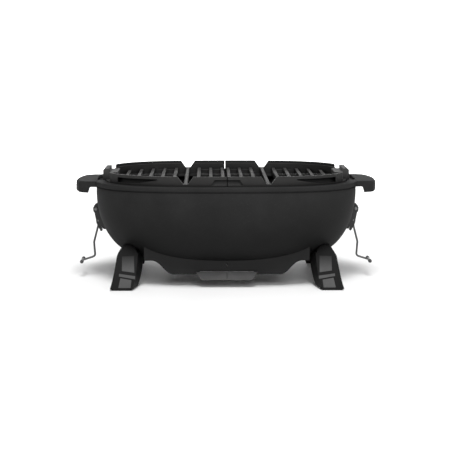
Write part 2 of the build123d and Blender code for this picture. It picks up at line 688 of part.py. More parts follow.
def foot_pads():
    x0 = LEG_INNER_X[0] + PAD_INSET
    x1 = LEG_OUTER_X[0] - PAD_INSET
    y0 = LEG_BACK_Y[0] + PAD_INSET
    y1 = LEG_FRONT_Y[0] - PAD_INSET
    pad = block(x0, x1, y0, y1, 0, LEG_HEIGHTS[0])
    pad = fillet(pad.edges().filter_by(Axis.Z), PAD_CORNER_R)
    group = Part()
    for one in (pad, mirrored(pad), mirrored(pad, Plane.XZ), mirrored(mirrored(pad), Plane.XZ)):
        group += one
    return group


# ---------------------------------------------------------------- latches, +X side

def bowl_skin(near, far):
    """The layer between two distances off the bowl's outside."""
    return bowl_form(far) - bowl_form(near)


def latch_bracket():
    """A channel riveted to the bowl: a back plate with two ears."""
    sides = upright(EAR_OUTLINE, EAR_OUT) - upright(EAR_OUTLINE, EAR_IN)
    sides -= bowl_form(PLATE_GAP)
    plate = bowl_skin(PLATE_GAP, PLATE_OUT) & block(0, SPAN, -EAR_OUT, EAR_OUT, *BRACKET_Z)
    bracket = sides + plate
    bracket -= cross_pin(*LEVER_PIVOT, PIN_R, SPAN)
    for z in RIVET_Z:
        bracket -= skin_pin(z, RIVET_R, -SKIN_REACH, SKIN_REACH)
    return bracket


def latch_rivets():
    """Rivets through the bracket's back plate and the bowl's wall."""
    inner = -WALL - 2 * RIVET_SLACK
    outer = PLATE_OUT + RIVET_SLACK
    group = Part()
    for z in RIVET_Z:
        rivet = skin_pin(z, RIVET_R - RIVET_FIT, inner, outer)
        rivet += skin_pin(z, RIVET_HEAD_R, outer, outer + RIVET_HEAD)
        rivet += skin_pin(z, RIVET_HEAD_R, inner - RIVET_HEAD, inner)
        group += rivet
    return group


def latch_pin():
    x, z = LEVER_PIVOT
    pin = cross_pin(x, z, PIN_R, EAR_OUT)
    for side in (-1, 1):
        pin += Pos(0, side * (EAR_OUT + PIN_HEAD / 2), 0) * cross_pin(x, z, PIN_HEAD_R, PIN_HEAD / 2)
    return pin


def latch_lever():
    """The over-centre lever, closed and pointing down."""
    lever = upright(LEVER_OUTLINE, LEVER_HALF_Y)
    lever = fillet(lever.edges().filter_by(Axis.Y).group_by(Axis.Z)[0], LEVER_TIP_ROUND)
    lever += cross_pin(*LEVER_PIVOT, HUB_R, LEVER_HALF_Y)
    lever -= block(LEVER_WEB_X, SPAN, -LEVER_SLOT, LEVER_SLOT, 0, LEVER_CUT_TOP)
    lever -= block(0, SPAN, -LEVER_SLOT, LEVER_SLOT, LEVER_WEB_TOP, LEVER_CUT_TOP)
    lever -= cross_pin(*LEVER_PIVOT, PIN_R + RUNNING_GAP, SPAN)
    return lever - cross_pin(*HOOK_PIVOT, PIN_R, SPAN)


def hook_pin():
    x, z = HOOK_PIVOT
    return cross_pin(x, z, PIN_R, LEVER_HALF_Y)


def latch_hook():
    """A bent rod that swings on the lever, with an eye above and a cross-bar below."""
    path = FilletPolyline(ROD_PATH, radius=ROD_BEND)
    path = Plane.XZ * path
    section = Plane(origin=path @ 0, z_dir=path % 0) * Circle(ROD_R)
    hook = sweep(section, path=path)
    hook += cross_pin(*HOOK_PIVOT, EYE_R, LEVER_SLOT - EYE_SLACK)
    hook -= cross_pin(*HOOK_PIVOT, PIN_R + RUNNING_GAP, SPAN)
    return hook + cross_pin(*ROD_PATH[-1], BAR_R, BAR_HALF)


def hook_caps():
    """Soft caps on the ends of the hook's cross-bar."""
    x, z = ROD_PATH[-1]
    group = Part()
    for side in (-1, 1):
        middle = side * (CAP_IN + CAP_OUT) / 2
        cap = Pos(0, middle, 0) * cross_pin(x, z, CAP_R, (CAP_OUT - CAP_IN) / 2)
        group += cap - cross_pin(x, z, BAR_R, BAR_HALF)
    return group


# ---------------------------------------------------------------- write every piece

os.makedirs("parts", exist_ok=True)
save(bowl(), "bowl")
left_grate = mirrored(cooking_grate())
save(left_grate, "cooking_grate_left")
save(Rot(0, 0, 180) * left_grate, "cooking_grate_right")
save(charcoal_grate(), "charcoal_grate")
save(base_tray(), "base_tray")
save(tray_spacers(), "tray_spacers")
save(tray_screws(), "tray_screws")
save(ash_drawer(), "ash_drawer")
save(drawer_pull(), "drawer_pull")
save(pull_rivets(), "pull_rivets")
save(damper_plate(), "damper_plate")
save(damper_knob(), "damper_knob")
save(damper_rails(), "damper_rails")
save(rail_screws(), "rail_screws")
save(leg_bolts(), "leg_bolts")
save(foot_pads(), "foot_pads")

back_right_leg, back_right_trim = legs_and_trims()
for shape, kind in ((back_right_leg, "leg"), (back_right_trim, "leg_panels")):
    front = mirrored(shape, Plane.XZ)
    save(shape, f"{kind}_back_right")
    save(mirrored(shape), f"{kind}_back_left")
    save(front, f"{kind}_front_right")
    save(mirrored(front), f"{kind}_front_left")

latch_pieces = {
    "latch_bracket": latch_bracket(),
    "latch_rivets": latch_rivets(),
    "latch_pin": latch_pin(),
    "latch_lever": latch_lever(),
    "hook_pin": hook_pin(),
    "latch_hook": latch_hook(),
    "hook_caps": hook_caps(),
}
for name, shape in latch_pieces.items():
    save(shape, f"{name}_right")
    save(mirrored(shape), f"{name}_left")
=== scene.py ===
import json
from math import cos, pi, radians, sin, tan

import bmesh
import bpy
from mathutils import Matrix, Vector

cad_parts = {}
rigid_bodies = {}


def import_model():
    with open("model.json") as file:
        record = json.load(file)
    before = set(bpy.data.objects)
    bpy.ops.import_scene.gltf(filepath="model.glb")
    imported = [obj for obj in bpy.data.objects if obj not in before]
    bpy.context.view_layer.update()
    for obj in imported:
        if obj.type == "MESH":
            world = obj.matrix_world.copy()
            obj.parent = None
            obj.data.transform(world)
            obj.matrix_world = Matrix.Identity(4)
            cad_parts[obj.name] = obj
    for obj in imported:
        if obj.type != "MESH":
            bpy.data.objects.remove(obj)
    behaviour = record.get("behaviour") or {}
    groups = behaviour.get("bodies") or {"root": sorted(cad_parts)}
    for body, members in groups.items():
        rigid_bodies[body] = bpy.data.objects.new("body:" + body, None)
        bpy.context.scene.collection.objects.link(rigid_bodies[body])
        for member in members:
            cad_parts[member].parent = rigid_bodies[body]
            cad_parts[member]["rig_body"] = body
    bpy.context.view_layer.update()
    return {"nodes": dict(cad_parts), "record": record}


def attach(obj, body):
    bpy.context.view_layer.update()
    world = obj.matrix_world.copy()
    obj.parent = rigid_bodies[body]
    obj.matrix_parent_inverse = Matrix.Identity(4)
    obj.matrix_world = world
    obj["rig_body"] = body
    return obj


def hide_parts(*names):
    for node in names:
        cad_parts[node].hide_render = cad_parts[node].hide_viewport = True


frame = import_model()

SCENE = bpy.context.scene
NODES = frame["nodes"]
BODY_OF = {node: obj["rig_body"] for node, obj in NODES.items()}
SLOT_OF = {part["node"]: part["material_slot"] for part in frame["record"]["subparts"]}


# ---------------------------------------------------------------- materials

HOLLOW_SHADE_REACH = 0.03      # how near other surfaces have to be for a place to get painted hollow shade
EDGE_SAMPLES = 6


class Shader:
    """A node material under construction, with helpers for the parts that most finishes share."""

    def __init__(self, name):
        self.material = bpy.data.materials.new(name)
        self.material.use_nodes = True
        self.tree = self.material.node_tree
        self.tree.nodes.clear()
        self.surface = self.add("ShaderNodeBsdfPrincipled")
        output = self.add("ShaderNodeOutputMaterial")
        self.join(self.surface.outputs["BSDF"], output.inputs["Surface"])
        self.coords = self.add("ShaderNodeTexCoord").outputs["Object"]
        self.geometry = self.add("ShaderNodeNewGeometry")

    def add(self, kind, **settings):
        node = self.tree.nodes.new(kind)
        for key, value in settings.items():
            setattr(node, key, value)
        return node

    def join(self, source, target):
        self.tree.links.new(source, target)

    def noise(self, scale, detail=3.0, rough=0.55, stretch=None):
        node = self.add("ShaderNodeTexNoise")
        node.inputs["Scale"].default_value = scale
        node.inputs["Detail"].default_value = detail
        node.inputs["Roughness"].default_value = rough
        coords = self.coords
        if stretch:
            mapping = self.add("ShaderNodeMapping")
            mapping.inputs["Scale"].default_value = stretch
            self.join(coords, mapping.inputs["Vector"])
            coords = mapping.outputs["Vector"]
        self.join(coords, node.inputs["Vector"])
        return node.outputs["Fac"]

    def spread(self, value, low, high, out_low, out_high, smooth=False):
        node = self.add("ShaderNodeMapRange", interpolation_type="SMOOTHSTEP" if smooth else "LINEAR")
        self.join(value, node.inputs["Value"])
        node.inputs["From Min"].default_value = low
        node.inputs["From Max"].default_value = high
        node.inputs["To Min"].default_value = out_low
        node.inputs["To Max"].default_value = out_high
        return node.outputs["Result"]

    def maths(self, operation, first, second):
        node = self.add("ShaderNodeMath", operation=operation)
        for socket, value in zip(node.inputs, (first, second)):
            if isinstance(value, float):
                socket.default_value = value
            else:
                self.join(value, socket)
        return node.outputs["Value"]

    def mix(self, amount, first, second):
        node = self.add("ShaderNodeMix", data_type="RGBA")
        self.join(amount, node.inputs["Factor"])
        for socket, value in ((node.inputs[6], first), (node.inputs[7], second)):
            if isinstance(value, tuple):
                socket.default_value = (*value, 1.0)
            else:
                self.join(value, socket)
        return node.outputs[2]

    def edge_wear(self, radius, noise_scale):
        """Near 1 on worn outer edges, 0 on open faces."""
        bevel = self.add("ShaderNodeBevel", samples=EDGE_SAMPLES)
        bevel.inputs["Radius"].default_value = radius
        dot = self.add("ShaderNodeVectorMath", operation="DOT_PRODUCT")
        self.join(bevel.outputs["Normal"], dot.inputs[0])
        self.join(self.geometry.outputs["Normal"], dot.inputs[1])
        edges = self.spread(dot.outputs["Value"], 0.985, 0.80, 0.0, 1.0)
        patchy = self.spread(self.noise(noise_scale, 5.0, 0.65), 0.42, 0.62, 0.0, 1.0, True)
        return self.maths("MULTIPLY", edges, patchy)

    def component(self, vector, axis):
        split = self.add("ShaderNodeSeparateXYZ")
        self.join(vector, split.inputs["Vector"])
        return split.outputs[axis]

    def upward_dust_and_light(self):
        """1 on faces that look up, where dust and ash settle and where a lighter tone stands in for top
        light.
        """
        return self.spread(self.component(self.geometry.outputs["Normal"], "Z"), 0.55, 0.95, 0.0, 1.0, True)

    def recess_shade(self):
        """Near 1 down in narrow hollows, 0 in the open; a mask for painting shade into them."""
        node = self.add("ShaderNodeAmbientOcclusion", samples=8)
        node.inputs["Distance"].default_value = HOLLOW_SHADE_REACH
        return self.spread(node.outputs["AO"], 0.45, 0.85, 1.0, 0.0, True)

    def beyond(self, axis, start, full):
        """Goes from 0 at start to 1 at full, both metres from the middle along an axis."""
        away = self.add("ShaderNodeMath", operation="ABSOLUTE")
        self.join(self.component(self.coords, axis), away.inputs[0])
        return self.spread(away.outputs["Value"], start, full, 0.0, 1.0, True)

    def height(self, low, high, out_low, out_high):
        """A value that changes with the height above the ground, in metres."""
        return self.spread(self.component(self.coords, "Z"), low, high, out_low, out_high, True)

    def bumps(self, layers, rounding=0.0):
        """Stacks (height, distance, strength) layers and sets the surface's normal."""
        normal = None
        if rounding:
            bevel = self.add("ShaderNodeBevel", samples=EDGE_SAMPLES)
            bevel.inputs["Radius"].default_value = rounding
            normal = bevel.outputs["Normal"]
        for height, distance, strength in layers:
            bump = self.add("ShaderNodeBump")
            bump.inputs["Distance"].default_value = distance
            bump.inputs["Strength"].default_value = strength
            self.join(height, bump.inputs["Height"])
            if normal is not None:
                self.join(normal, bump.inputs["Normal"])
            normal = bump.outputs["Normal"]
        self.join(normal, self.surface.inputs["Normal"])

    def constant(self, **values):
        for key, value in values.items():
            self.surface.inputs[key.replace("_", " ")].default_value = value


def tone(level, warmth=0.0):
    """A near-neutral colour; warmth tips it from blue to red."""
    return (level * (1 + warmth), level, level * (1 - warmth))


def cast_color(s, level, warmth, wear, blotch):
    """Blotches, pale flecks and rubbed edges on a casting."""
    flecks = s.noise(420.0, 2.0, 0.5)
    uneven = s.spread(blotch, 0.3, 0.7, 0.0, 1.0)
    color = s.mix(uneven, tone(level * 0.82, warmth), tone(level * 1.2, warmth * 0.5))
    color = s.mix(s.spread(flecks, 0.62, 0.78, 0.0, 0.35), color, tone(level * 2.6, warmth))
    return s.mix(s.maths("MULTIPLY", s.edge_wear(0.0012, 70.0), wear), color, tone(level * 4.0, warmth))


def cast_skin(s, color, roughness, blotch, grain, specular):
    """Colour, gloss and a sandy grain."""
    s.join(color, s.surface.inputs["Base Color"])
    s.join(s.spread(blotch, 0.25, 0.75, roughness - 0.07, roughness + 0.08), s.surface.inputs["Roughness"])
    s.constant(Specular_IOR_Level=specular)
    sand = s.noise(1500.0, 2.0, 0.6)
    waves = s.noise(60.0, 3.0, 0.5)
    s.bumps([(waves, 0.0010, 0.12), (sand, 0.0003, grain)], 0.0008)


def enamel_finish(name, level, roughness, wear, low_shade=0.0):
    """Matt black enamel on a casting; the last argument paints shade that darkens it towards the floor of
    the bowl.
    """
    s = Shader(name)
    blotch = s.noise(14.0, 5.0, 0.6)
    color = cast_color(s, level, 0.0, wear, blotch)
    if low_shade:
        # painted shade: darker towards the bottom, standing in for the shade under the bowl
        color = s.mix(s.height(0.05, 0.19, low_shade, 0.0), color, tone(level * 0.35))
    cast_skin(s, color, roughness, blotch, 0.22, 0.07)
    return s.material


def grate_finish(name, level, warmth=0.03):
    """Bare cast iron: dust and ash on what faces up, lightened further as painted top light; lugs painted
    paler as a highlight; painted shade in the hollows.
    """
    s = Shader(name)
    blotch = s.noise(14.0, 5.0, 0.6)
    color = cast_color(s, level, warmth, 0.3, blotch)
    # partly real dust and ash, partly painted highlight: faces that look up are lightened as if lit from
    # above
    dust_and_top_light = s.spread(s.noise(38.0, 6.0, 0.7), 0.38, 0.72, 0.0, 0.34, True)
    color = s.mix(s.maths("MULTIPLY", s.upward_dust_and_light(), dust_and_top_light), color, tone(0.16, 0.03))
    # painted highlight: the end lugs are painted paler, as if catching the light
    lug_highlight = s.maths("MULTIPLY", s.beyond("X", 0.2145, 0.216), s.beyond("Y", 0.0415, 0.0405))
    color = s.mix(s.maths("MULTIPLY", lug_highlight, 0.8), color, tone(0.05, 0.02))
    # painted shade: hollows darkened almost to black, standing in for shadow
    color = s.mix(s.maths("MULTIPLY", s.recess_shade(), 0.9), color, tone(0.002))
    cast_skin(s, color, 0.55, blotch, 0.35, 0.25)
    return s.material


def sheet_finish(name, level, roughness, metallic=0.0, brushed=None, specular=0.5, wear=0.3, bowl_shade=0.0):
    """Painted or bare sheet metal: fine orange peel or brushing, smudges, rubbed edges.

    The last argument paints shade that darkens it towards the top, where the bowl overhead shades it.
    """
    s = Shader(name)
    smudge = s.noise(26.0, 5.0, 0.62)
    color = s.mix(s.spread(smudge, 0.3, 0.7, 0.0, 1.0), tone(level * 0.85), tone(level * 1.15))
    if brushed:
        lines = s.noise(1.0, 4.0, 0.7, brushed)
        color = s.mix(s.spread(lines, 0.3, 0.7, 0.0, 0.5), color, tone(level * 1.35))
    rubbed = s.maths("MULTIPLY", s.edge_wear(0.0008, 110.0), wear)
    color = s.mix(rubbed, color, tone(min(level * 2.8, 0.55)))
    if bowl_shade:
        # painted shade: darker towards the top, under the bowl
        color = s.mix(s.height(0.033, 0.064, 0.0, bowl_shade), color, tone(level * 0.25))
    s.join(color, s.surface.inputs["Base Color"])
    s.join(s.spread(smudge, 0.25, 0.75, roughness - 0.08, roughness + 0.08), s.surface.inputs["Roughness"])
    s.constant(Metallic=metallic, Specular_IOR_Level=specular)
    peel = lines if brushed else s.noise(900.0, 2.0, 0.5)
    s.bumps([(peel, 0.00012, 0.25)], 0.0006)
    return s.material


def soft_finish(name, level, roughness):
    """Moulded rubber with a matt, slightly dusty skin."""
    s = Shader(name)
    cloud = s.noise(55.0, 4.0, 0.6)
    color = s.mix(s.spread(cloud, 0.3, 0.7, 0.0, 1.0), tone(level * 0.8), tone(level * 1.3))
    s.join(color, s.surface.inputs["Base Color"])
    s.join(s.spread(cloud, 0.3, 0.7, roughness - 0.06, roughness + 0.06), s.surface.inputs["Roughness"])
    s.constant(Specular_IOR_Level=0.3)
    s.bumps([(s.noise(1300.0, 2.0, 0.5), 0.0002, 0.35)])
    return s.material


def floor_finish():
    """A pale, very slightly mottled studio floor."""
    s = Shader("studio_floor")
    mottle = s.noise(3.0, 3.0, 0.5)
    color = s.mix(s.spread(mottle, 0.3, 0.7, 0.0, 1.0), tone(0.80), tone(0.83))
    s.join(color, s.surface.inputs["Base Color"])
    s.join(s.spread(mottle, 0.3, 0.7, 0.55, 0.65), s.surface.inputs["Roughness"])
    s.constant(Specular_IOR_Level=0.2)
    s.bumps([(s.noise(500.0, 2.0, 0.5), 0.0002, 0.1)])
    return s.material


def light_card_finish():
    """A glowing white card behind the object."""
    s = Shader("light_card")
    haze = s.noise(0.6, 2.0, 0.5)
    s.constant(Base_Color=(0.8, 0.8, 0.8, 1.0), Roughness=0.9, Emission_Color=(1.0, 1.0, 1.0, 1.0))
    s.join(s.spread(haze, 0.3, 0.7, 1.10, 1.16), s.surface.inputs["Emission Strength"])
    return s.material


FINISH = {
    # the bowl gets painted shade towards its floor
    "black_casting": enamel_finish("black_casting", 0.0180, roughness=0.62, wear=0.12, low_shade=0.75),
    "leg_casting": enamel_finish("leg_casting", 0.006, roughness=0.6, wear=0.2),
    # the leg panels get painted shade under the bowl
    "grey_trim": sheet_finish("grey_trim", 0.068, 0.6, specular=0.05, bowl_shade=0.95),
    "grate_iron": grate_finish("grate_iron", 0.018),
    "tray_sheet": sheet_finish("tray_sheet", 0.0125, 0.5, specular=0.13),
    "bare_steel": sheet_finish("bare_steel", 0.32, 0.42, metallic=1.0, brushed=(30.0, 900.0, 900.0)),
    "dark_knob": soft_finish("dark_knob", 0.02, 0.5),
    "fasteners": sheet_finish("fasteners", 0.13, 0.4, metallic=1.0),
    "soft_feet": soft_finish("soft_feet", 0.02, 0.75),
    "latch_sheet": sheet_finish("latch_sheet", 0.022, 0.42, specular=0.4, wear=0.5),
    "pins": sheet_finish("pins", 0.2, 0.36, metallic=1.0),
    "rod": sheet_finish("rod", 0.12, 0.4, metallic=1.0),
    "soft_caps": soft_finish("soft_caps", 0.05, 0.5),
}
for node, obj in NODES.items():
    obj.data.materials.clear()
    obj.data.materials.append(FINISH[SLOT_OF[node]])


# ---------------------------------------------------------------- mesh building

MM = 0.001
WELD = 0.01 * MM
FLAT = radians(0.8)      # faces that meet flatter than this are merged
GROOVE_FLOOR = 0.6


def to_mesh(name, bm):
    bmesh.ops.recalc_face_normals(bm, faces=bm.faces)
    mesh = bpy.data.meshes.new(name)
    bm.to_mesh(mesh)
    bm.free()
    mesh.shade_smooth()
    return mesh


def show(name, mesh, *nodes, edges=0.0, segments=3, angle=35.0):
    """Puts a piece in the scene in place of CAD nodes, on their body and in their finish."""
    obj = bpy.data.objects.new(name, mesh)
    SCENE.collection.objects.link(obj)
    slot = SLOT_OF[nodes[0]]
    mesh.materials.clear()
    mesh.materials.append(FINISH[slot])
    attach(obj, BODY_OF[nodes[0]])
    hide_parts(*nodes)
    if edges:
        bevel = obj.modifiers.new("edges", "BEVEL")
        bevel.width = edges * MM
        bevel.segments = segments
        bevel.limit_method = "ANGLE"
        bevel.angle_limit = radians(angle)
        bevel.harden_normals = True
    else:
        mesh.set_sharp_from_angle(angle=radians(angle))
    return obj


def softened(node, edges, segments=2, angle=35.0):
    """A CAD piece's shape as clean polygons with its sharp edges rounded in geometry."""
    bm = bmesh.new()
    bm.from_mesh(NODES[node].data)
    bmesh.ops.remove_doubles(bm, verts=bm.verts, dist=WELD)
    bmesh.ops.dissolve_limit(bm, angle_limit=FLAT, verts=bm.verts, edges=bm.edges)
    mesh = to_mesh(node + "_soft", bm)
    if "custom_normal" in mesh.attributes:
        mesh.attributes.remove(mesh.attributes["custom_normal"])
    return show(node + "_soft", mesh, node, edges=edges, segments=segments, angle=angle)


def bridge(bm, rings, closed=True):
    """Quads between rings of points; a ring of one point closes an end as a fan."""
    rows = [[bm.verts.new(Vector(p) * MM) for p in ring] for ring in rings]
    for low, high in zip(rows, rows[1:]):
        count = max(len(low), len(high))
        for k in range(count if closed else count - 1):
            n = (k + 1) % count
            corners = [low[k % len(low)], low[n % len(low)], high[n % len(high)], high[k % len(high)]]
            unique = [v for i, v in enumerate(corners) if v not in corners[:i]]
            if len(unique) > 2:
                bm.faces.new(unique)
    return rows


def round_corner(centre, radius, start, end, steps=4):
    """Points of an arc between two angles in degrees, as (across, up)."""
    turns = [radians(start + (end - start) * k / steps) for k in range(steps + 1)]
    return [(centre[0] + radius * cos(t), centre[1] + radius * sin(t)) for t in turns]


def lathe(bm, profile, place, sides=40):
    """Turns (radius, height) points round the local Z axis and sets the result at place."""
    rings = []
    for radius, height in profile:
        if radius < 1e-6:
            rings.append([place @ Vector((0, 0, height))])
        else:
            turns = [2 * pi * k / sides for k in range(sides)]
            rings.append([place @ Vector((radius * cos(t), radius * sin(t), height)) for t in turns])
    bridge(bm, rings)


def bar_profile(radius, low, high, edge):
    """A plain turned bar with rounded ends."""
    points = [(0, low), *round_corner((radius - edge, low + edge), edge, -90, 0, 3)]
    return [*points, *round_corner((radius - edge, high - edge), edge, 0, 90, 3), (0, high)]


def groove_profile(starts, outer, inner, slope):
    """Profile points of grooves that begin at the given heights."""
    points = []
    for start in starts:
        points += [(outer, start), (inner, start + slope)]
        points += [(inner, start + slope + GROOVE_FLOOR), (outer, start + 2 * slope + GROOVE_FLOOR)]
    return points


def rounded_path(points, bend, steps=8):
    """A path through points with each inner corner turned on a radius."""
    path = [Vector(points[0])]
    for before, here, after in zip(points, points[1:], points[2:]):
        here = Vector(here)
        back = (Vector(before) - here).normalized()
        on = (Vector(after) - here).normalized()
        half = back.angle(on) / 2
        reach = bend / tan(half)
        start = here + back * reach
        stop = here + on * reach
        middle = here + (back + on).normalized() * bend / sin(half)
        for k in range(steps + 1):
            arm = (start - middle).lerp(stop - middle, k / steps).normalized() * bend
            path.append(middle + arm)
    return [*path, Vector(points[-1])]


def tube(bm, path, radius, sides=20):
    """A round rod in the plane of the path (constant Y)."""
    side = Vector((0, 1, 0))
    rings = []
    for k, point in enumerate(path):
        ahead = path[min(k + 1, len(path) - 1)] - path[max(k - 1, 0)]
        out = side.cross(ahead.normalized())
        turns = [2 * pi * n / sides for n in range(sides)]
        rings.append([point + out * radius * cos(t) + side * radius * sin(t) for t in turns])
    bridge(bm, [[path[0]], *rings, [path[-1]]])


# ---------------------------------------------------------------- bowl

RING = 288               # points round each ring of the bowl
WALL_HALF = (257.5, 184.5)
RIM_HALF = (259.5, 186.5)
WALL = 4.5
SHOULDER = 175.0
FLOOR = 43.0
RIM_TOP = 200.0
RIM_ROUND = 2.2
LIP_LOW = 191.5
LIP_ROUND = 0.7
COVE = ((0.0, -3.0), (-0.7, -2.6), (-1.2, -1.6), (-1.1, -0.7), (-0.5, -0.1), (0.7, 0.0))
SEAT_HALF = (240.0, 174.0)
MOUTH_HALF = (226.0, 160.0)
LEDGE = 191.0
LEDGE_LOW = 185.0
SIDE_INSET = 110.0
TOP_POWER = 3.0
POWER_DROP = 0.9
SIDE_STEPS = 40
VENTS = range(-2, 3)
VENT_PITCH = 18.0
VENT_WIDTH = 8.0
VENT_LENGTH = 80.0
POCKET_X = (236.0, 256.0)
POCKET_HALF_Y = 46.0
POCKET_LOW = 193.5


def oval_ring(half, z, power=TOP_POWER, shrink=0.0):
    """A level ring of points; a higher power gives squarer corners."""
    points = []
    for k in range(RING):
        turn = 2 * pi * k / RING
        in_x = abs(cos(turn)) / (half[0] - shrink)
        in_y = abs(sin(turn)) / (half[1] - shrink)
        reach = (in_x ** power + in_y ** power) ** (-1 / power)
        points.append((reach * cos(turn), reach * sin(turn), z))
    return points


def oval_x(half, y):
    """Where the end of an oval of the rim's kind lies at a given Y."""
    return half[0] * (1 - abs(y / half[1]) ** TOP_POWER) ** (1 / TOP_POWER)


def side_rings(room, depths):
    """Rings of the curved side, room outside the wall's outer face; depths run 0 at the top to 1."""
    floor = FLOOR - room
    rings = []
    for depth in depths:
        inset = SIDE_INSET * (1 - (1 - depth ** 2) ** 0.4) - room
        power = TOP_POWER - POWER_DROP * depth
        rings.append(oval_ring(WALL_HALF, SHOULDER - depth * (SHOULDER - floor), power, inset))
    return rings


def floor_rings(room):
    """Rings from the floor's centre out to where the side begins."""
    half = (WALL_HALF[0] - SIDE_INSET + room, WALL_HALF[1] - SIDE_INSET + room)
    power = TOP_POWER - POWER_DROP
    rings = [[(0, 0, FLOOR - room)]]
    for share in (0.25, 0.5, 0.75, 0.9):
        rings.append(oval_ring((half[0] * share, half[1] * share), FLOOR - room, power))
    return rings


def build_bowl():
    """Rings from under the floor, up the outside, over the rim, down past the seat to the floor."""
    depths = [cos(pi / 2 * (k / SIDE_STEPS) ** 1.4) for k in range(SIDE_STEPS + 1)]
    bm = bmesh.new()
    rings = floor_rings(0) + side_rings(0, depths)
    rings += [oval_ring(WALL_HALF, z) for z in (180.0, 184.0, 188.0)]
    lip = [(WALL_HALF[0] + x, LIP_LOW + z) for x, z in COVE]
    lip += round_corner((RIM_HALF[0] - LIP_ROUND, LIP_LOW + LIP_ROUND), LIP_ROUND, -90, 0, 3)
    lip += round_corner((RIM_HALF[0] - RIM_ROUND, RIM_TOP - RIM_ROUND), RIM_ROUND, 0, 90, 6)
    rings += [oval_ring(RIM_HALF, z, shrink=RIM_HALF[0] - x) for x, z in lip]
    seat = [(6.0, RIM_TOP), (0.9, RIM_TOP), (0.3, RIM_TOP - 0.3), (0, RIM_TOP - 0.9)]
    seat += [(0, LEDGE + 1.0), (-0.3, LEDGE + 0.3), (-1.0, LEDGE)]
    rings += [oval_ring(SEAT_HALF, z, shrink=-x) for x, z in seat]
    mouth = [(1.2, LEDGE), (0.35, LEDGE - 0.35), (0, LEDGE - 1.2), (0, LEDGE_LOW + 1), (1, LEDGE_LOW)]
    rings += [oval_ring(MOUTH_HALF, z, shrink=-x) for x, z in mouth]
    rings.append(oval_ring(WALL_HALF, LEDGE_LOW, shrink=WALL + 1.5))
    rings.append(oval_ring(WALL_HALF, LEDGE_LOW - 1.5, shrink=WALL))
    rings += side_rings(-WALL, depths[::-1]) + floor_rings(-WALL)[::-1]
    bridge(bm, rings)
    body = show("bowl_casting", to_mesh("bowl_casting", bm), "bowl", angle=50)
    cut_bowl(body)
    return body


def prism_into(bm, outline, low, high):
    """An upright prism, as a cutter."""
    rows = bridge(bm, [[(x, y, z) for x, y in outline] for z in (low, high)])
    bm.faces.new(rows[0])
    bm.faces.new(rows[-1])


def pocket_into(bm, side):
    near, far = (side * x for x in POCKET_X)
    corners = [(near, -POCKET_HALF_Y), (far, -POCKET_HALF_Y), (far, POCKET_HALF_Y), (near, POCKET_HALF_Y)]
    prism_into(bm, corners, POCKET_LOW, RIM_TOP + 4)


def vent_into(bm, x):
    """A round-ended slot along Y."""
    radius = VENT_WIDTH / 2
    reach = VENT_LENGTH / 2 - radius
    outline = round_corner((x, reach), radius, 0, 180, 10) + round_corner((x, -reach), radius, 180, 360, 10)
    prism_into(bm, outline, FLOOR - 3, FLOOR + WALL + 3)


def cut_bowl(body):
    """Vent slots in the floor and finger pockets beside the grates' lugs."""
    bm = bmesh.new()
    for index in VENTS:
        vent_into(bm, VENT_PITCH * index)
    for side in (-1, 1):
        pocket_into(bm, side)
    cutter = bpy.data.objects.new("cutter", to_mesh("cutter", bm))
    SCENE.collection.objects.link(cutter)
    boolean = body.modifiers.new("cuts", "BOOLEAN")
    boolean.object = cutter
    boolean.operation = "DIFFERENCE"
    boolean.solver = "EXACT"
    apply_modifiers(body)
    bpy.data.objects.remove(cutter)
    body.data.shade_smooth()
    body.data.set_sharp_from_angle(angle=radians(40))


def apply_modifiers(obj):
    graph = bpy.context.evaluated_depsgraph_get()
    mesh = bpy.data.meshes.new_from_object(obj.evaluated_get(graph))
    obj.modifiers.clear()
    obj.data = mesh


# ---------------------------------------------------------------- handles and bosses

HANDLE_REACH = 299.5
HANDLE_HALF = 70.0
HANDLE_END = 286.0
HANDLE_CORNER = 14.0
HANDLE_TOP = 199.5
HANDLE_UNDER = 188.5
GRIP_LOW = 177.5
GRIP_THICK = 16.0
GRIP_ROUND = 2.5
HANDLE_ROUND = 7.0
GAP_ROUND = 3.5          # where the finger gap's roof meets the grip
GAP_LEAN = 2.0           # how much thicker the grip is there
BOLT_X = 187.0
BOLT_Y = 92.0
BOSS = (6.5, 62.0, 75.0, 0.8)    # radius, bottom, top, edge


def handle_arc(y):
    """The curve that the handle's outer edge follows in plan."""
    sag = HANDLE_REACH - HANDLE_END
    radius = (sag ** 2 + HANDLE_HALF ** 2) / (2 * sag)
    return HANDLE_REACH - radius + (radius ** 2 - y ** 2) ** 0.5


def handle_edge(y):
    """That edge with its ends turned on a radius."""
    x = handle_arc(y)
    over = abs(y) - (HANDLE_HALF - HANDLE_CORNER)
    if over > 0:
        x -= HANDLE_CORNER - (HANDLE_CORNER ** 2 - min(over, HANDLE_CORNER) ** 2) ** 0.5
    return x


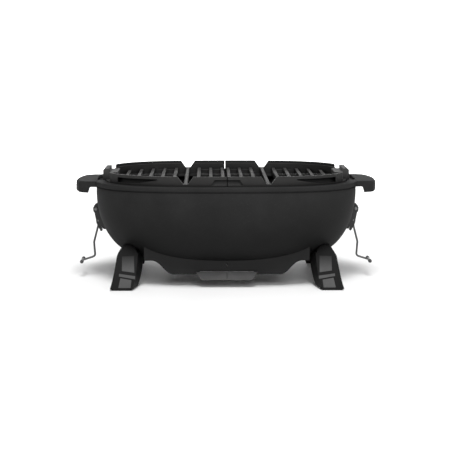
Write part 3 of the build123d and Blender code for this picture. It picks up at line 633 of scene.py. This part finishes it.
def build_handle(side):
    """A flat top that runs out from the rim and turns down into the grip."""
    name = "handle_right" if side > 0 else "handle_left"
    inner = HANDLE_HALF - HANDLE_CORNER
    stations = [inner * k / 16 for k in range(-16, 17)]
    tips = [inner + HANDLE_CORNER * sin(pi / 2 * k / 12) for k in range(1, 13)]
    stations = [-y for y in tips[::-1]] + stations + tips
    rings = []
    for y in stations:
        edge = handle_edge(y)
        back = handle_arc(y) - GRIP_THICK
        root = oval_x(WALL_HALF, y) - 0.05
        turn = min(HANDLE_ROUND, (edge - back) * 0.9)
        foot = min(GRIP_ROUND, (edge - back) * 0.45)
        section = [(root, HANDLE_TOP), *round_corner((edge - turn, HANDLE_TOP - turn), turn, 90, 0, 8)]
        section += round_corner((edge - foot, GRIP_LOW + foot), foot, 0, -90, 4)
        section += round_corner((back + foot, GRIP_LOW + foot), foot, -90, -180, 4)
        roof = (back - GAP_ROUND - GAP_LEAN, HANDLE_UNDER - GAP_ROUND)
        section += round_corner(roof, GAP_ROUND, 0, 90, 5)
        section.append((root, HANDLE_UNDER))
        rings.append([(side * x, y, z) for x, z in section])
    bm = bmesh.new()
    rows = bridge(bm, rings)
    bm.faces.new(rows[0])
    bm.faces.new(rows[-1])
    show(name, to_mesh(name, bm), "bowl", edges=1.2, angle=50)


def build_bosses():
    """The bosses for the leg bolts, cast with the bowl."""
    bm = bmesh.new()
    for x in (-BOLT_X, BOLT_X):
        for y in (-BOLT_Y, BOLT_Y):
            lathe(bm, bar_profile(*BOSS), Matrix.Translation((x, y, 0)))
    show("bowl_bosses", to_mesh("bowl_bosses", bm), "bowl", angle=50)


# ---------------------------------------------------------------- latches

LEVER_PIVOT = (261.0, 138.0)
HOOK_PIVOT = (256.5, 114.0)
ROD_PATH = [(256.5, 114.0), (258.2, 101.0), (266.5, 69.0), (264.5, 40.5), (290.0, 32.5)]
ROD_R = 2.0
ROD_BEND = 6.0
ROD_START = (256.9, 110.6)       # just inside the eye
EYE_HOLE_R = 2.05
EYE_R = 4.6
EYE_HALF = 2.7
EYE_EDGE = 0.4
BAR = (2.4, -22.0, 22.0, 0.6)    # radius, ends, edge
CAP_R = 3.6
CAP_GROOVE_R = 3.2
CAP_ENDS = (15.0, 24.0)
CAP_GROOVES = (17.4, 20.2)
PIN_R = 2.0
PIN_HEAD_R = 3.4
PIN_HEAD_AT = 12.0
PIN_END = 13.5
HOOK_PIN = (2.0, -8.5, 8.5, 0.5)


def across(side, x, z):
    """A frame whose local Z runs along Y, at a place on one latch."""
    return Matrix.Translation((side * x, 0, z)) @ Matrix.Rotation(-pi / 2, 4, "X")


def build_hook(side, word):
    """The bent rod with its eye and cross-bar, and the soft caps on the bar's ends."""
    bm = bmesh.new()
    path = rounded_path([(side * x, 0, z) for x, z in ROD_PATH], ROD_BEND)
    tube(bm, path[1:], ROD_R)
    tube(bm, [Vector((side * ROD_START[0], 0, ROD_START[1])), path[1]], ROD_R)
    eye = [(EYE_HOLE_R, 2.4), (2.3, EYE_HALF), (EYE_R - EYE_EDGE, EYE_HALF), (EYE_R, EYE_HALF - EYE_EDGE)]
    below = [(r, -h) for r, h in eye]
    lathe(bm, [*below, *eye[::-1], below[0]], across(side, *HOOK_PIVOT))
    lathe(bm, bar_profile(*BAR), across(side, *ROD_PATH[-1]))
    name = "hook_rod_" + word
    show(name, to_mesh(name, bm), "latch_hook_" + word)

    bm = bmesh.new()
    for end in (-1, 1):
        inner, outer = CAP_ENDS
        profile = [(BAR[0], inner), *round_corner((CAP_R - 0.7, inner + 0.7), 0.7, -90, 0, 3)]
        profile += groove_profile(CAP_GROOVES, CAP_R, CAP_GROOVE_R, 0.4)
        profile += [*round_corner((CAP_R - 1.5, outer - 1.5), 1.5, 0, 90, 5), (0, outer)]
        lathe(bm, [(r, end * h) for r, h in profile], across(side, *ROD_PATH[-1]))
    name = "hook_cap_pair_" + word
    show(name, to_mesh(name, bm), "hook_caps_" + word, angle=60)


def build_pins(side, word):
    """The lever's pin, domed at both ends, and the hook's plain pin."""
    bm = bmesh.new()
    dome = [(0, PIN_END), (1.6, PIN_END - 0.1), (2.7, PIN_END - 0.4), (PIN_HEAD_R, PIN_END - 1.0)]
    head = [*dome, (PIN_HEAD_R, PIN_HEAD_AT), (PIN_R, PIN_HEAD_AT - 0.1)]
    profile = [(r, -h) for r, h in head] + head[::-1]
    lathe(bm, profile, across(side, *LEVER_PIVOT))
    name = "lever_pin_" + word
    show(name, to_mesh(name, bm), "latch_pin_" + word, angle=50)
    bm = bmesh.new()
    lathe(bm, bar_profile(*HOOK_PIN), across(side, *HOOK_PIVOT))
    name = "hook_pin_turned_" + word
    show(name, to_mesh(name, bm), "hook_pin_" + word)


# ---------------------------------------------------------------- small turned parts

KNOB_Y = 134.0
KNOB_TOP = 40.2          # where the knob meets the vent slide's arm
KNOB_R = 7.5
KNOB_GROOVE_R = 6.7
KNOB_GROOVES = (-7.4, -4.4)      # below its top
NECK_R = 3.0
CLINCH_R = 5.0
ARM_THICK = 2.5
SCREW_X = 82.0
SCREW_Y = 60.0
SCREW_SEAT = 24.0        # the heads sit on the tray's underside
SCREW_TIP = 46.0
SCREW_R = 2.5
SCREW_HEAD_R = 4.75


def build_knob():
    """A knob with two finger grooves, its neck through the arm and its clinched end above."""
    bm = bmesh.new()
    profile = [(0, -11), *round_corner((5.5, -9), 2, -90, 0, 5)]
    profile += groove_profile(KNOB_GROOVES, KNOB_R, KNOB_GROOVE_R, 0.6)
    profile += [(KNOB_R, -0.5), (KNOB_R - 0.5, 0), (NECK_R, 0), (NECK_R, ARM_THICK)]
    top = [(CLINCH_R, 0), (CLINCH_R, 1.1), (CLINCH_R - 0.6, 1.7), (0, 1.8)]
    profile += [(r, ARM_THICK + h) for r, h in top]
    lathe(bm, profile, Matrix.Translation((0, KNOB_Y, KNOB_TOP)), 48)
    show("vent_knob", to_mesh("vent_knob", bm), "damper_knob", angle=55)


def build_screws():
    """The tray's screws, with a round socket in each head."""
    bm = bmesh.new()
    profile = [(0, -1.0), (1.9, -1.0), (2.1, -2.8), (3.6, -2.9), *round_corner((3.95, -2.1), 0.8, -60, 0, 3)]
    length = SCREW_TIP - SCREW_SEAT
    profile += [(SCREW_HEAD_R, 0), (SCREW_R, 0), (SCREW_R, length), (0, length)]
    for x in (-SCREW_X, SCREW_X):
        for y in (-SCREW_Y, SCREW_Y):
            lathe(bm, profile, Matrix.Translation((x, y, SCREW_SEAT)), 24)
    show("tray_screw_set", to_mesh("tray_screw_set", bm), "tray_screws", angle=50)


# ---------------------------------------------------------------- the whole object

build_bowl()
build_bosses()
for side, word in ((-1, "left"), (1, "right")):
    build_handle(side)
    build_hook(side, word)
    build_pins(side, word)
    softened("latch_lever_" + word, 0.7)
    softened("latch_bracket_" + word, 0.35)
    softened("latch_rivets_" + word, 0.5, 3)
    softened("cooking_grate_" + word, 0.7)
    for end in ("front", "back"):
        softened(f"leg_{end}_{word}", 1.1, 3, 40)
        softened(f"leg_panels_{end}_{word}", 0.45)
build_knob()
build_screws()
softened("base_tray", 0.3, 2, 45)
softened("drawer_pull", 0.9, 3)
EDGES = {
    "tray_spacers": 0.6, "foot_pads": 0.6, "leg_bolts": 0.5, "charcoal_grate": 0.9, "ash_drawer": 0.5,
    "damper_plate": 0.3, "damper_rails": 0.4, "rail_screws": 0.5, "pull_rivets": 0.3,
}
for node, edges in EDGES.items():
    softened(node, edges)


# ---------------------------------------------------------------- stage, light and camera

def plane_piece(name, corners, material):
    mesh = bpy.data.meshes.new(name)
    mesh.from_pydata(corners, [], [tuple(range(len(corners)))])
    mesh.materials.append(material)
    obj = bpy.data.objects.new(name, mesh)
    SCENE.collection.objects.link(obj)


def area_light(name, place, target, power):
    data = bpy.data.lights.new(name, "AREA")
    data.shape = "RECTANGLE"
    data.size, data.size_y = LAMP_SIZE
    data.energy = power
    light = bpy.data.objects.new(name, data)
    light.location = place
    light.rotation_euler = (Vector(target) - Vector(place)).to_track_quat("-Z", "Y").to_euler()
    SCENE.collection.objects.link(light)


FLOOR_HALF = 12.0
CARD_Y = 1.7
CARD_HALF = 0.85
CARD_LOW = -0.02
CARD_TOP = 0.66
SUN_HEADING = (0.0, 0.47, -1.0)
LAMP_SIZE = (1.6, 1.0)
CAMERA_PLACE = (-0.038, -2.6, 0.473)
CAMERA_DIP = 8.14        # degrees below level
CAMERA_TURN = -0.84      # degrees round Z, from looking along Y
SENSOR_WIDTH = 36.0
LENS = 103.54

floor_corners = [(-FLOOR_HALF, -FLOOR_HALF, 0), (FLOOR_HALF, -FLOOR_HALF, 0)]
floor_corners += [(FLOOR_HALF, FLOOR_HALF, 0), (-FLOOR_HALF, FLOOR_HALF, 0)]
plane_piece("studio_floor", floor_corners, floor_finish())
card_corners = [(-CARD_HALF, CARD_Y, CARD_LOW), (CARD_HALF, CARD_Y, CARD_LOW)]
card_corners += [(CARD_HALF, CARD_Y, CARD_TOP), (-CARD_HALF, CARD_Y, CARD_TOP)]
plane_piece("light_card", card_corners, light_card_finish())

key = bpy.data.lights.new("key", "SUN")
key.energy = 2.85
key.angle = radians(22)
key_light = bpy.data.objects.new("key", key)
key_light.rotation_euler = Vector(SUN_HEADING).to_track_quat("-Z", "Y").to_euler()
SCENE.collection.objects.link(key_light)
area_light("overhead", (0.3, 0.2, 1.9), (0.0, 0.0, 0.1), 3.0)
area_light("front_fill", (0.4, -2.7, 1.5), (0.0, 0.0, 0.15), 30.0)

world = bpy.data.worlds.new("studio")
world.use_nodes = True
world.node_tree.nodes["Background"].inputs["Color"].default_value = (1.0, 1.0, 1.0, 1.0)
world.node_tree.nodes["Background"].inputs["Strength"].default_value = 0.36
SCENE.world = world
SCENE.view_settings.view_transform = "Standard"

camera_data = bpy.data.cameras.new("camera")
camera_data.sensor_width = SENSOR_WIDTH
camera_data.lens = LENS
camera = bpy.data.objects.new("camera", camera_data)
camera.location = CAMERA_PLACE
camera.rotation_euler = (radians(90 - CAMERA_DIP), 0.0, radians(CAMERA_TURN))
SCENE.collection.objects.link(camera)
SCENE.camera = camera
